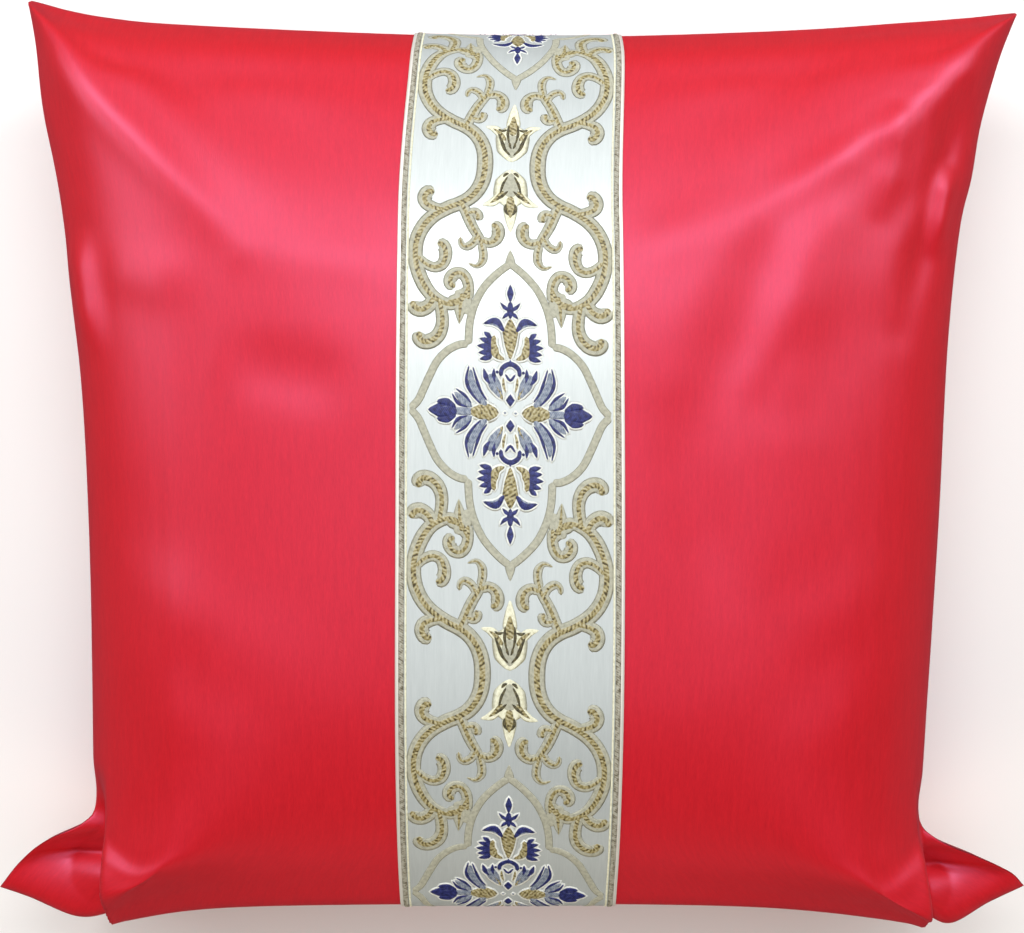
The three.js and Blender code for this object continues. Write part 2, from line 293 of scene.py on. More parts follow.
def grid_quads(index):
    """Faces of a grid of vertex numbers, counter-clockwise seen from above."""
    corners = [index[:-1, :-1], index[:-1, 1:], index[1:, 1:], index[1:, :-1]]
    return np.stack(corners, axis=-1).reshape(-1, 4)


def seamed(face, back, flat):
    """Face and back grids joined at their rim: points, faces, map of the flat cloth, who is on the rim."""
    rim = np.ones(face.shape[:2], bool)
    rim[1:-1, 1:-1] = False
    face_index = np.arange(rim.size).reshape(rim.shape)
    back_index = face_index.copy()
    back_index[~rim] = rim.size + np.arange((~rim).sum())
    points = np.vstack([face.reshape(-1, 3), back[~rim]])
    faces = np.vstack([grid_quads(face_index), grid_quads(back_index)[:, ::-1]])
    return points, faces, np.vstack([flat.reshape(-1, 2), flat[~rim]]), rim.ravel()


rim_points = np.vstack([seams[side][:, :2] for side in seams])
plan_middle = (rim_points.max(axis=0) + rim_points.min(axis=0)) / 2
cover_low, cover_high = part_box("cover")
to_frame = np.array([*(np.array(cover_low + cover_high)[:2] / 2 / MM - plan_middle), 0])


def cloth_piece(name, points, faces, uv, material):
    """A smooth mesh object from points in millimetres, with a map of the flat cloth in metres."""
    mesh = bpy.data.meshes.new(name)
    mesh.from_pydata(((points + to_frame) * MM).tolist(), [], [list(face) for face in faces])
    corners = np.empty(len(mesh.loops), int)
    mesh.loops.foreach_get("vertex_index", corners)
    mesh.uv_layers.new(name="cloth").data.foreach_set("uv", (uv[corners] * MM).ravel())
    mesh.polygons.foreach_set("use_smooth", np.ones(len(mesh.polygons), bool))
    mesh.materials.append(material)
    mesh.validate()
    piece = bpy.data.objects.new(name, mesh)
    bpy.context.scene.collection.objects.link(piece)
    return piece


def add_node(tree, kind, inputs, **settings):
    """A new node with its settings, whose inputs are linked from other nodes' outputs or set to values."""
    node = tree.nodes.new(kind)
    for name, value in settings.items():
        setattr(node, name, value)
    for key, value in inputs.items():
        if isinstance(value, bpy.types.NodeSocket):
            tree.links.new(value, node.inputs[key])
        else:
            node.inputs[key].default_value = value
    return node


def add_sockets(tree, in_out, kinds):
    for name, kind in kinds.items():
        tree.interface.new_socket(name, in_out=in_out, socket_type="NodeSocket" + kind)


SLUB_SCALE, SLUB_SHARE = 0.22, 0.45  # the coarse unevenness of the yarn


def weave_group():
    """Node group of woven threads: fine lines of uneven yarn along the warp, on the map of the cloth."""
    group = bpy.data.node_groups.new("weave", "ShaderNodeTree")
    add_sockets(group, "INPUT", {"Cloth map": "Vector", "Threads": "Float", "Float length": "Float"})
    add_sockets(group, "OUTPUT", {"Tone": "Float", "Height": "Float"})
    given = group.nodes.new("NodeGroupInput").outputs
    made = group.nodes.new("NodeGroupOutput").inputs
    along = add_node(group, "ShaderNodeMath", {0: given["Threads"], 1: given["Float length"]},
                     operation="MULTIPLY")
    stretch = add_node(group, "ShaderNodeCombineXYZ", {"X": given["Threads"], "Y": along.outputs[0]})
    scaled = add_node(group, "ShaderNodeVectorMath", {0: given["Cloth map"], 1: stretch.outputs[0]},
                      operation="MULTIPLY")
    yarn = add_node(group, "ShaderNodeTexNoise", {"Vector": scaled.outputs[0], "Scale": 1, "Detail": 2})
    coarse = add_node(group, "ShaderNodeVectorMath", {0: scaled.outputs[0], "Scale": SLUB_SCALE},
                      operation="SCALE")
    slub = add_node(group, "ShaderNodeTexNoise", {"Vector": coarse.outputs[0], "Scale": 1, "Detail": 3})
    tone = add_node(group, "ShaderNodeMix", {"Factor": SLUB_SHARE, "A": yarn.outputs["Fac"],
                                             "B": slub.outputs["Fac"]})
    group.links.new(tone.outputs["Result"], made["Tone"])
    group.links.new(yarn.outputs["Fac"], made["Height"])
    return group


weave = weave_group()
RAMP_ENDS = (0.3, 0.7)  # tones of the weave that take its dark and its light colour
WEAVE_HEIGHT = 0.0001


def cloth_material(name, dark, light, roughness, threads, float_length, bump):
    """A woven cloth: a Principled surface whose colour and bump come from the weave."""
    material = bpy.data.materials.new(name)
    material.use_nodes = True
    tree = material.node_tree
    surface = tree.nodes["Principled BSDF"]
    surface.inputs["Roughness"].default_value = roughness
    cloth_map = add_node(tree, "ShaderNodeUVMap", {}, uv_map="cloth")
    woven = add_node(tree, "ShaderNodeGroup", {"Cloth map": cloth_map.outputs["UV"], "Threads": threads,
                                               "Float length": float_length}, node_tree=weave)
    colour = add_node(tree, "ShaderNodeValToRGB", {"Fac": woven.outputs["Tone"]})
    for stop, position, tone in zip(colour.color_ramp.elements, RAMP_ENDS, (dark, light)):
        stop.position, stop.color = position, (*tone, 1)
    tree.links.new(colour.outputs["Color"], surface.inputs["Base Color"])
    relief = add_node(tree, "ShaderNodeBump", {"Height": woven.outputs["Height"], "Strength": bump,
                                               "Distance": WEAVE_HEIGHT})
    tree.links.new(relief.outputs["Normal"], surface.inputs["Normal"])
    return material, surface


def tint_where(material, mask, tint):
    """The cloth has another colour where a mask of its node tree is 1."""
    tree = material.node_tree
    base = tree.nodes["Principled BSDF"].inputs["Base Color"]
    mixed = add_node(tree, "ShaderNodeMix", {
        "Factor": mask, "A": base.links[0].from_socket, "B": (*tint, 1)}, data_type="RGBA")
    tree.links.new(mixed.outputs["Result"], base)


SATIN_DARK = (0.49, 0.006, 0.009)
SATIN_LIGHT = (0.61, 0.010, 0.014)
# Painted shade: the satin is darkened to this colour along its seam, where its own shade falls as it turns
# into the seam.
SEAM_SHADE = (0.16, 0.003, 0.005)  # the satin in its own shade, where it turns into the seam
satin, satin_surface = cloth_material("red_satin", SATIN_DARK, SATIN_LIGHT, roughness=0.38, threads=2600,
                                      float_length=0.12, bump=0.35)
satin_surface.inputs["Sheen Weight"].default_value = 0.05
satin_surface.inputs["Sheen Tint"].default_value = (1.0, 0.4, 0.6, 1)
satin_surface.inputs["Specular IOR Level"].default_value = 1.0
satin_surface.inputs["Specular Tint"].default_value = (1.0, 0.42, 0.78, 1)
# The cover's rim points paint that shade onto the satin.
seam_shade_mask = add_node(satin.node_tree, "ShaderNodeAttribute", {}, attribute_name="seam")
tint_where(satin, seam_shade_mask.outputs["Fac"], SEAM_SHADE)

# The panels are cut flat and square, so they wrinkle where the filled seam is shorter than they are. A
# cloth simulation finds these wrinkles on a coarse grid: the seam, the back and the ears are held, the face
# is free with its threads as long as in the flat square, and pressure fills it. Only wrinkles are kept.
SIM_ROWS, SIM_PANEL_CELLS, SIM_BAND_CELLS = 80, 28, 14
SIM_FRAMES = 16
SIM_PRESSURE = 6.0
WRINKLE_LIMIT = 1.4
WRINKLE_BLUR = 9  # cells, on each side, over which the lift of the whole face is taken off
WRINKLE_START = (0.04, 0.16)  # shares up the face between which the wrinkles come in


def blurred(grid, reach, axes=(0, 1)):
    """Running mean of a grid, over its rows, its columns or both."""
    for axis in axes:
        sides = [(reach, reach) if k == axis else (0, 0) for k in range(3)]
        run = np.cumsum(np.pad(grid, sides, mode="edge"), axis=axis)
        run = np.concatenate([np.zeros_like(np.take(run, [0], axis)), run], axis=axis)
        count = grid.shape[axis]
        ends = np.take(run, np.arange(2 * reach + 1, 2 * reach + 1 + count), axis)
        grid = (ends - np.take(run, np.arange(count), axis)) / (2 * reach + 1)
    return grid


def simulated_wrinkles():
    across, up, inset = cover_grid(SIM_ROWS, SIM_PANEL_CELLS, SIM_BAND_CELLS)
    face, back = cover_form(across, up, inset)
    flat = np.stack([across - 0.5, up - 0.5], axis=-1) * COVER_WIDTH
    points, faces, flat_map, rim = seamed(face, back, flat)
    panel = cloth_piece("panel_cloth", points, faces, flat_map, satin)
    panel.shape_key_add(name="filled")
    cut_flat = panel.shape_key_add(name="cut_flat")
    flat_points = np.hstack([flat_map, np.zeros((len(flat_map), 1))]) * MM
    cut_flat.data.foreach_set("co", flat_points.ravel())
    held = panel.vertex_groups.new(name="held")
    ear = ear_at(points[:, 0], points[:, 1])[0]
    is_held = np.concatenate([rim | (ear[: rim.size] > 0), np.ones(len(points) - rim.size, bool)])
    held.add(np.flatnonzero(is_held).tolist(), 1.0, "REPLACE")
    cloth = panel.modifiers.new("cloth", "CLOTH")
    cloth.settings.quality = 6
    cloth.settings.mass = 0.2
    cloth.settings.tension_stiffness = cloth.settings.compression_stiffness = 25
    cloth.settings.shear_stiffness = 8
    cloth.settings.bending_stiffness = 0.3
    cloth.settings.air_damping = 4
    cloth.settings.vertex_group_mass = "held"
    cloth.settings.rest_shape_key = cut_flat
    cloth.settings.use_pressure = True
    cloth.settings.uniform_pressure_force = SIM_PRESSURE
    cloth.settings.effector_weights.gravity = 0
    cloth.collision_settings.use_collision = False
    cloth.point_cache.frame_start, cloth.point_cache.frame_end = 1, SIM_FRAMES
    for number in range(1, SIM_FRAMES + 1):
        bpy.context.scene.frame_set(number)
    filled = panel.evaluated_get(bpy.context.evaluated_depsgraph_get())
    moved = np.empty(len(points) * 3)
    filled.data.vertices.foreach_get("co", moved)
    moved = (moved.reshape(-1, 3) / MM - to_frame)[: rim.size].reshape(face.shape)
    bpy.data.objects.remove(panel)
    bpy.context.scene.frame_set(1)
    shift = moved - face
    shift = blurred(shift - blurred(shift, WRINKLE_BLUR), 1)
    size = np.linalg.norm(shift, axis=-1, keepdims=True)
    shift = shift * WRINKLE_LIMIT * np.tanh(size / WRINKLE_LIMIT) / np.maximum(size, TINY)
    return shift * (1 - rim.reshape(*face.shape[:2], 1)) * eased(up, *WRINKLE_START)[..., None]


wrinkles = simulated_wrinkles()

COVER_ROWS = 208
PANEL_CELLS = 94
BAND_CELLS = 44
EAR_BLUR = 7  # rows, on each side, over which the cloth between the ears is smoothed
EAR_CLEARANCE = (112, 148)  # distances from the middle between which that fades out
EAR_FOOT, EAR_ROOT = (0.05, 0.09), (0.22, 0.30)  # shares up the face between which it comes and goes
cover_across, cover_up, cover_inset = cover_grid(COVER_ROWS, PANEL_CELLS, BAND_CELLS)
face, back = cover_form(cover_across, cover_up, cover_inset)
panel_steps = np.linspace(0, SIM_PANEL_CELLS, PANEL_CELLS + 1)
band_steps = SIM_PANEL_CELLS + np.linspace(0, SIM_BAND_CELLS, BAND_CELLS + 1)
last_column = 2 * SIM_PANEL_CELLS + SIM_BAND_CELLS
column_place = np.concatenate([panel_steps[:-1], band_steps, last_column - panel_steps[-2::-1]])
finer_rows = between(wrinkles, np.linspace(0, SIM_ROWS, COVER_ROWS + 1))
face = face + between(finer_rows.swapaxes(0, 1), column_place).swapaxes(0, 1)
level_with_ears = eased(cover_up, *EAR_FOOT) * (1 - eased(cover_up, *EAR_ROOT))
clear_of_ears = 1 - eased(abs(face[..., 0]), *EAR_CLEARANCE)
smoother = blurred(blurred(face, EAR_BLUR, [0]), EAR_BLUR, [0])
face = face + (level_with_ears * clear_of_ears)[..., None] * (smoother - face)
flat_shares = np.stack([cover_across - 0.5, cover_up - 0.5], axis=-1)
cover_points, cover_faces, cover_map, on_rim = seamed(face, back, flat_shares * COVER_WIDTH)
cover = cloth_piece("satin_cover", cover_points, cover_faces, cover_map, satin)
seam_ends = np.append(on_rim, np.zeros(len(cover_points) - len(on_rim), bool))
# The rim points become the mask of the painted seam shade.
cover.data.attributes.new("seam", "FLOAT", "POINT").data.foreach_set("value", seam_ends.astype(float))
edge_ends = np.empty(2 * len(cover.data.edges), int)
cover.data.edges.foreach_get("vertices", edge_ends)
is_sharp = seam_ends[edge_ends.reshape(-1, 2)].all(axis=1)
sharp = cover.data.attributes.new("sharp_edge", "BOOLEAN", "EDGE")
sharp.data.foreach_set("value", is_sharp)
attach(cover, "root")
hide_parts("cover")

# The brocade band: a woven silver-white trimming, laid down the middle of the front panel before the cover
# is seamed, so its ends are caught in the top and bottom seams and its two edges are stitched to the satin.
BAND_GAP = 0.12
BAND_THICKNESS = 0.5
FINER = 2  # cells of the band to one of the cover, each way
band_face = face[1:-1, PANEL_CELLS:PANEL_CELLS + BAND_CELLS + 1]
band_rows = FINER * (COVER_ROWS - 2)
band_columns = FINER * BAND_CELLS
under_band = between(band_face, np.linspace(0, COVER_ROWS - 2, band_rows + 1)).swapaxes(0, 1)
under_band = between(under_band, np.linspace(0, BAND_CELLS, band_columns + 1)).swapaxes(0, 1)
band_normals = grid_normals(under_band)
middle_line = under_band[:, band_columns // 2]
band_travel = np.concatenate([[0], np.cumsum(np.linalg.norm(np.diff(middle_line, axis=0), axis=1))])
band_length = band_travel[-1]
LAST_CELL = 1e-6  # keeps a point on the far edge inside the last cell


def on_band(x, along, height):
    """Points over the band: x from its middle, along it from its lower end, height above its cloth."""
    column = np.clip((x / BAND_WIDTH + 0.5) * band_columns, 0, band_columns - LAST_CELL)
    row = np.clip(np.interp(along, band_travel, np.arange(band_rows + 1)), 0, band_rows - LAST_CELL)
    c, r = column.astype(int), row.astype(int)
    right, upper = (column - c)[:, None], (row - r)[:, None]

    def blended(grid):
        low = grid[r, c] * (1 - right) + grid[r, c + 1] * right
        high = grid[r + 1, c] * (1 - right) + grid[r + 1, c + 1] * right
        return low * (1 - upper) + high * upper

    return blended(under_band) + blended(band_normals) * (BAND_GAP + BAND_THICKNESS + height)[:, None]


GROUND_DARK = (0.55, 0.60, 0.60)
GROUND_LIGHT = (0.62, 0.67, 0.67)
SELVEDGE_CREAM = (0.88, 0.85, 0.78)
SELVEDGE_WIDTH = 1.2  # the strip along each edge
ground, ground_surface = cloth_material("silver_ground", GROUND_DARK, GROUND_LIGHT, roughness=0.36,
                                        threads=1700, float_length=0.08, bump=0.2)
ground_surface.inputs["Sheen Weight"].default_value = 0.1
ground_surface.inputs["Specular IOR Level"].default_value = 1.0
ground_surface.inputs["Metallic"].default_value = 0.32
ground_tree = ground.node_tree
band_map = add_node(ground_tree, "ShaderNodeUVMap", {}, uv_map="cloth")
band_place = add_node(ground_tree, "ShaderNodeSeparateXYZ", {0: band_map.outputs["UV"]})
from_middle = add_node(ground_tree, "ShaderNodeMath", {0: band_place.outputs["X"]}, operation="ABSOLUTE")
in_selvedge = add_node(ground_tree, "ShaderNodeMath", {
    0: from_middle.outputs[0], 1: (BAND_WIDTH / 2 - SELVEDGE_WIDTH) * MM}, operation="GREATER_THAN")
tint_where(ground, in_selvedge.outputs[0], SELVEDGE_CREAM)

top_index = np.arange(under_band[..., 0].size).reshape(under_band.shape[:2])
under_index = top_index + top_index.size
rim = np.concatenate([top_index[0, :-1], top_index[:-1, -1], top_index[-1, :0:-1], top_index[:0:-1, 0]])
next_rim = np.roll(rim, -1)
band_walls = np.stack([rim + top_index.size, next_rim + top_index.size, next_rim, rim], axis=1)
band_faces = np.vstack([grid_quads(top_index), grid_quads(under_index)[:, ::-1], band_walls])
band_points = np.vstack([(under_band + band_normals * lift).reshape(-1, 3)
                         for lift in (BAND_GAP + BAND_THICKNESS, BAND_GAP)])
across_band = np.linspace(-BAND_WIDTH / 2, BAND_WIDTH / 2, band_columns + 1)
band_flat = np.stack(np.meshgrid(across_band, band_travel), axis=-1).reshape(-1, 2)
band = cloth_piece("brocade_band", band_points, band_faces, np.vstack([band_flat, band_flat]), ground)
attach(band, "root")
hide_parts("band")

# The ornament of the band: scrolls, medallions and tulips brocaded in extra threads that float on the
# ground and stand a little proud of it. One repeat is drawn flat, as strokes about a medallion's middle,
# and is then repeated along the band and laid on its cloth. Each kind of thread is one piece.
HALF_REPEAT = 94.5  # from a medallion's middle to the middle between two tulips
MEDALLION_Y = 19.2  # height on the face of the whole medallion's middle
GRAIN_SKEW = 0.035  # the trimming lies a little off its grain: its right side is lower
STROKE_STEP = 0.7
STROKE_LEAST = 7  # points of the shortest stroke
END_ROUND = 0.02  # width of a stroke's very end, squared, against its full width
SECTION_ACROSS = np.array([-0.5, -0.34, 0, 0.34, 0.5])
SECTION_HEIGHT = np.array([0, 0.78, 1, 0.78, 0])


class Threads:
    """Strokes of one kind of thread, gathered as the points and faces of one flat mesh."""

    def __init__(self, height):
        self.height, self.points, self.faces, self.map, self.count = height, [], [], [], 0

    def stroke(self, way, widths, side=1, end=1, grow=0.0):
        """A ribbon along a way, with widths spread evenly along it, mirrored where side or end is -1."""
        rough = curve_through(way, CURVE_STEPS)
        length = np.linalg.norm(np.diff(rough, axis=0), axis=1).sum()
        line = curve_through(way, max(STROKE_LEAST, int(length / STROKE_STEP) + 1))
        ahead = np.gradient(line, axis=0)
        ahead = ahead / np.linalg.norm(ahead, axis=1, keepdims=True)
        line[0], line[-1] = line[0] - grow * ahead[0], line[-1] + grow * ahead[-1]
        travel = np.concatenate([[0], np.cumsum(np.linalg.norm(np.diff(line, axis=0), axis=1))])
        width = 2 * grow + np.interp(travel / travel[-1], np.linspace(0, 1, len(widths)), widths)
        to_end = np.minimum(travel, travel[-1] - travel)
        round_off = np.sqrt(np.clip(1 - (1 - np.minimum(to_end / (width / 2), 1)) ** 2, END_ROUND, 1))
        leftward = np.stack([-ahead[:, 1], ahead[:, 0]], axis=1)
        reach = (width * round_off)[:, None] * SECTION_ACROSS
        flat = line[:, None, :] + leftward[:, None, :] * reach[..., None]
        up = self.height * np.sqrt(round_off)[:, None] * SECTION_HEIGHT
        ring = np.concatenate([flat * [side, end], up[..., None]], axis=-1)
        number = np.arange(up.size).reshape(up.shape) + self.count
        following = np.roll(number, -1, axis=1)
        quads = np.stack([number[:-1], number[1:], following[1:], following[:-1]], axis=-1).reshape(-1, 4)
        faces = [*quads.tolist(), number[0].tolist(), number[-1][::-1].tolist()]
        self.faces += faces if side * end > 0 else [face[::-1] for face in faces]
        self.points.append(ring.reshape(-1, 3))
        along = np.broadcast_to(travel[:, None], reach.shape)
        self.map.append(np.stack([along, reach], axis=-1).reshape(-1, 2))
        self.count += number.size


beige = Threads(height=0.14)
gold = Threads(height=0.22)
navy = Threads(height=0.26)
slate = Threads(height=0.22)
cream = Threads(height=0.08)
white = Threads(height=0.06)
olive = Threads(height=0.34)

# Scrolls in one quarter of the repeat: widths of the beige stroke, width of its gold core against it, and
# the way, with x from the band's middle and y from the medallion's middle
SCROLLS = {
    "medallion_lobe": ((2.9, 2.9), 0, [
        (36.3, 0), (33.4, 3.2), (31.4, 7.5), (29.2, 12.5), (26.4, 18), (22.6, 22), (18.6, 24.2),
        (15.2, 24.6)]),
    "medallion_peak": ((2.9, 2.9), 0, [
        (15.2, 24.4), (15.1, 28), (14.8, 32), (13.9, 36.5), (12.3, 41), (9.6, 46), (5.8, 50.4), (2.2, 53.6),
        (0, 55)]),
    "medallion_tip": ((4.6, 3.2, 0.5), 0, [(0, 53.6), (0, 56.6), (0, 60.6)]),
    "stem": ((4.0, 5.6, 5.6, 5.6, 6.2), 0.45, [
        (16, 43), (18.5, 40.2), (22, 39), (26, 40.3), (29.5, 43), (32.4, 47.6), (34.3, 53), (34.9, 58.5),
        (34.1, 64), (31.7, 69), (28, 73), (23, 76.2), (18.5, 78.3), (14.8, 80.8), (12, 84.4), (10.3, 89),
        (9.8, HALF_REPEAT)]),
    "outer_curl": ((4.0, 4.8, 5.6, 6.2), 0.45, [
        (24.5, 75.4), (28, 75.9), (31, 77.4), (31.8, 80), (30.4, 82.2), (28.2, 82.2)]),
    "inner_curl": ((3.4, 4.4, 5.6), 0.45, [
        (34.2, 57), (31.6, 54.4), (28.2, 52.8), (25.2, 53.8), (23.8, 56.8), (23.9, 59.8), (25.2, 61.8),
        (26.8, 61.8)]),
    "sprig": ((4.2, 4.2, 3.6), 0.45, [
        (18.5, 79), (16.8, 75.6), (15.4, 72.2), (13.6, 68.4), (11.6, 65), (10.2, 62)]),
    "sprig_top": ((3.2, 3.4, 0.7), 0.4, [
        (10.8, 63), (9.9, 58.8), (10.3, 55.8), (12.3, 53.9), (15.4, 54.8)]),
    "sprig_inner": ((3.6, 4.2, 5.0, 5.2), 0.45, [
        (11, 64.2), (8, 63), (5.4, 64.3), (4.4, 67), (5.1, 69.4), (6.9, 70.3)]),
    "sprig_outer": ((3.0, 3.4, 1.6), 0.4, [
        (12.2, 65.6), (13.8, 62.6), (16.3, 61.2), (18, 62.3), (18.4, 64.8)]),
    "sprig_spur": ((3.0, 4.0, 4.6), 0.4, [(15.8, 74.4), (13.1, 74.9), (11.9, 73.4), (12.3, 71.6)]),
    "shoulder_curl": ((4.0, 4.4, 5.6), 0.4, [
        (15.4, 41), (15.2, 45), (15.8, 48.4), (17.6, 50.8), (20.1, 50.8), (21.8, 48.9), (21.7, 46.6),
        (20.1, 45.7)]),
    "high_hook": ((4.6, 4.8, 5.6, 6.4), 0.45, [
        (25.8, 40.4), (24.9, 35.4), (24.8, 31.2), (26.1, 27.6), (28.6, 25.3), (31.3, 24.8), (33, 26.2),
        (33.1, 28.4)]),
    "low_hook": ((4.8, 5.6, 6.6), 0.45, [
        (27.5, 42), (29.6, 38.3), (32.6, 36.6), (34.9, 37.6), (35.9, 39.6)]),
    "spike": ((8.0, 5.0, 0.5), 0.3, [(17.4, 43.6), (18.2, 38.6), (18.6, 31.8)]),
    "web": ((3.4, 5.6, 4.2), 0, [(15.2, 35.4), (16.6, 40.6), (20, 44.2)]),
    "shoulder": ((4.4, 5.4, 5.0), 0.4, [(15, 46), (17.6, 41.4), (23, 39.6)]),
}
for widths, core, way in SCROLLS.values():
    ends = (1, -1)
    if way[-1][1] == HALF_REPEAT:
        way = way + [(x, 2 * HALF_REPEAT - y) for x, y in way[-2::-1]]
        widths, ends = widths + widths[-2::-1], (1,)
    for side in (1, -1) if way[0][0] else (1,):
        for end in ends:
            beige.stroke(way, widths, side, end)
            if core:
                gold.stroke(way, [core * width for width in widths], side, end)

# Palmettes of the medallion, each leaf with a white outline. Rows: thread, widths and way of one leaf.
# The leaves of a quarter are mirrored to both sides and both ends, and those on an axis to two places.
QUARTER_LEAVES = [
    (navy, (0.8, 3.5, 0.6), [(2.0, 29.6), (5.4, 33.3), (9.8, 32.4)]),
    (slate, (0.4, 1.5, 0.4), [(3.2, 30.6), (5.6, 32.3), (8, 32.2)]),
    (gold, (1.0, 3.9, 1.4), [(2.1, 19.4), (5, 21), (6.3, 24.4), (5.8, 28.2)]),
    (navy, (1.8, 3.6, 1.6), [(7.4, 19.2), (8.2, 23.8), (7.3, 28.4)]),
    (navy, (2.2, 2.2, 0.5), [(7.2, 20.2), (11.2, 19.2)]),
    (navy, (2.2, 2.2, 0.5), [(7.8, 22), (11.6, 21.6)]),
    (navy, (2.2, 2.2, 0.5), [(7.9, 24), (12.1, 24.2)]),
    (navy, (2.2, 2.1, 0.5), [(7.7, 26), (11.2, 26.9)]),
    (navy, (2.0, 2.0, 0.5), [(7.2, 27.6), (9.6, 29.4)]),
    (slate, (1.6, 4.8, 4.4), [(3.1, 5.4), (5.4, 9.6), (7.5, 14)]),
    (gold, (0.8, 2.4, 0.6), [(2.8, 4.8), (4, 7.4), (5.3, 10)]),
    (navy, (0.4, 2.0, 0.4), [(5.4, 10.6), (6, 13), (5.9, 16.2)]),
    (navy, (0.4, 2.4, 0.4), [(7, 10), (8.6, 12.4), (9.7, 16)]),
    (slate, (1.8, 3.8, 1.2), [(8.6, 2.4), (12.1, 6.6), (14, 11), (14.4, 15.4)]),
    (navy, (0.6, 1.3, 0.5), [(8.4, 4.2), (10.8, 7.9), (12.3, 12), (13.6, 16.4)]),
    (navy, (0.6, 1.6, 0.5), [(10.6, 2.8), (13.9, 6.6), (15.9, 11.2), (15, 16.8)]),
    (slate, (1.4, 3.6, 1.0), [(13.8, 1.6), (17.2, 4.1), (20.2, 6.8)]),
    (navy, (0.5, 1.4, 0.4), [(14, 2.9), (16.4, 5.7), (19.8, 8.2)]),
    (navy, (0.5, 1.6, 0.4), [(15.2, 1.5), (18.9, 2.9), (21.2, 6.4)]),
    (navy, (1.0, 1.3, 1.0), [(4.6, 14.2), (4.9, 15.4)]),
    (gold, (0.5, 1.2, 0.6), [(1.7, 7.4), (2.4, 10), (2.6, 13)]),
]
UPRIGHT_LEAVES = [
    (navy, (0.5, 2.9, 0.4), [(0, 40.6), (0, 43.4), (0, 47.4)]),
    (navy, (0.8, 3.0, 1.2), [(0, 34.4), (0, 37.6), (0, 41)]),
    (navy, (1.2, 1.6, 0.3), [(0, 37.6), (2, 38.6), (3.7, 40.6)]),
    (navy, (1.2, 1.6, 0.3), [(0, 37.6), (-2, 38.6), (-3.7, 40.6)]),
    (navy, (1.0, 1.6, 0.4), [(0, 37), (1.6, 35.8), (2.9, 34.4)]),
    (navy, (1.0, 1.6, 0.4), [(0, 37), (-1.6, 35.8), (-2.9, 34.4)]),
    (gold, (0.8, 4.4, 6.2, 1.0), [(0, 19.6), (0, 26), (0, 30.4), (0, 34.6)]),
    (navy, (1.5, 2.0, 2.0, 1.5), [(-3.5, 13.2), (-2.9, 16.2), (0, 17.9), (2.9, 16.2), (3.5, 13.2)]),
    (navy, (1.4, 1.6, 0.4), [(0, 16.8), (0, 18), (0, 19.4)]),
    (navy, (0.7, 1.2, 0.7), [(-1.9, 14.2), (0, 11.9), (1.9, 14.2)]),
    (navy, (0.5, 3.5, 0.5), [(0, 2.4), (0, 4.6), (0, 6.9)]),
    (slate, (0.5, 1.5, 0.5), [(0, 3.4), (0, 4.4), (0, 5.6)]),
]
LEVEL_LEAVES = [
    (gold, (3.2, 6.6, 5.6, 2.0), [(4.2, 0), (7.6, 0), (11, 0), (15, 0)]),
    (slate, (2.8, 3.2, 2.8), [(13.4, 0), (17, 0), (20.5, 0)]),
    (navy, (1.8, 5.0, 5.4, 1.0), [(18.8, 0), (22, 0), (25.5, 0), (29.8, 0)]),
    (navy, (1.4, 3.0, 1.6), [(19.6, 1.2), (23.2, 3.2), (26.6, 3)]),
    (navy, (1.4, 3.0, 1.6), [(19.6, -1.2), (23.2, -3.2), (26.6, -3)]),
    (slate, (0.6, 1.1, 0.5), [(21.6, 0.9), (23.4, 1.4), (25.4, 1.1)]),
    (slate, (0.5, 0.9, 0.5), [(1.4, 0), (1.9, 0), (2.4, 0)]),
]
WHITE_OUTLINE = 0.7
for leaves, sides, ends in ((QUARTER_LEAVES, (1, -1), (1, -1)), (UPRIGHT_LEAVES, (1,), (1, -1)),
                            (LEVEL_LEAVES, (1, -1), (1,))):
    for thread, widths, way in leaves:
        for side in sides:
            for end in ends:
                thread.stroke(way, widths, side, end)
                white.stroke(way, widths, side, end, grow=WHITE_OUTLINE)

# Two tulips, foot to foot, between the medallions: a cream flower with gold petals and dark olive veins.
# Rows: thread, widths and way of a petal or vein, with y from the middle between the two
TULIP = [
    (cream, (4.5, 11.5, 12.6, 13.4, 8), [(0, 1.6), (0, 5.5), (0, 9.5), (0, 13), (0, 17.4)]),
    (cream, (5.6, 5.2, 3.4, 0.6), [(0, 15), (0, 19), (0, 22.6), (0, 27)]),
    (cream, (3.6, 3.4, 0.6), [(3.6, 12.4), (6.6, 15.4), (10.4, 16.6)]),
    (beige, (2.0, 6.6, 7.4, 5.4), [(0, 3), (0, 6.4), (0, 10), (0, 13.4)]),
    (gold, (2.6, 3.8, 1.0), [(0, 12.6), (0, 17), (0, 21.4)]),
    (gold, (2.0, 2.0, 0.4), [(2.6, 10.6), (5, 13.8), (7.6, 15.8)]),
]
UPPER_VEINS = [
    (olive, (0.7, 1.4, 0.6), [(0.9, 10.6), (2.8, 12.4), (5.4, 14.6)]),
    (olive, (0.7, 1.3, 0.6), [(1.7, 15.8), (1.8, 18.6), (0.4, 20.6)]),
    (olive, (0.7, 1.2, 0.6), [(1.2, 4.6), (2.9, 8), (3.9, 12)]),
    (olive, (0.8, 1.3, 0.6), [(0.8, 3.2), (2, 3.7), (2.9, 4.9)]),
]
LOWER_VEINS = [
    (olive, (0.7, 1.6, 0.7), [(0.5, 4.2), (2.7, 6.8), (4.1, 10.4), (5.5, 13.8)]),
    (olive, (0.6, 1.3, 0.6), [(1.2, 9.2), (1.9, 13.4), (1.7, 17.6)]),
    (olive, (0.6, 1.2, 0.6), [(0.3, 7), (0.9, 8.4), (1.1, 10)]),
    (olive, (0.6, 1.2, 0.6), [(2.2, 15.4), (4, 14.8), (5.6, 15.6)]),
]
